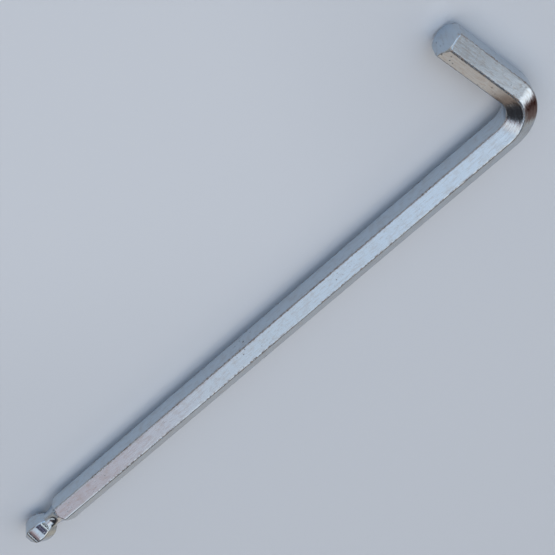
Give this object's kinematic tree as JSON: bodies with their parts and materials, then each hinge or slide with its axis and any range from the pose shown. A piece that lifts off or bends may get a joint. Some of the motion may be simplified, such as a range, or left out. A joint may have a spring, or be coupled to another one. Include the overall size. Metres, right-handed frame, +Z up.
{
  "type": "hex key",
  "caption": "L-shaped hex key of bright plated steel, with a ball end on its long arm and a chamfered flat end on its short arm.",
  "frame": {"origin": "under the middle of the key's outline, on the surface that it lies on", "axes": "+X along the long arm to the ball end, -Y along the short arm to its flat end, +Z up, square to the plane of the bend"},
  "size_m": [0.208, 0.038, 0.009],
  "materials": {
    "plated_steel": "bright plating over drawn steel, with fine lengthwise lines"
  },
  "bodies": {
    "root": {"hex_key": "plated_steel"}
  },
  "joints": []
}
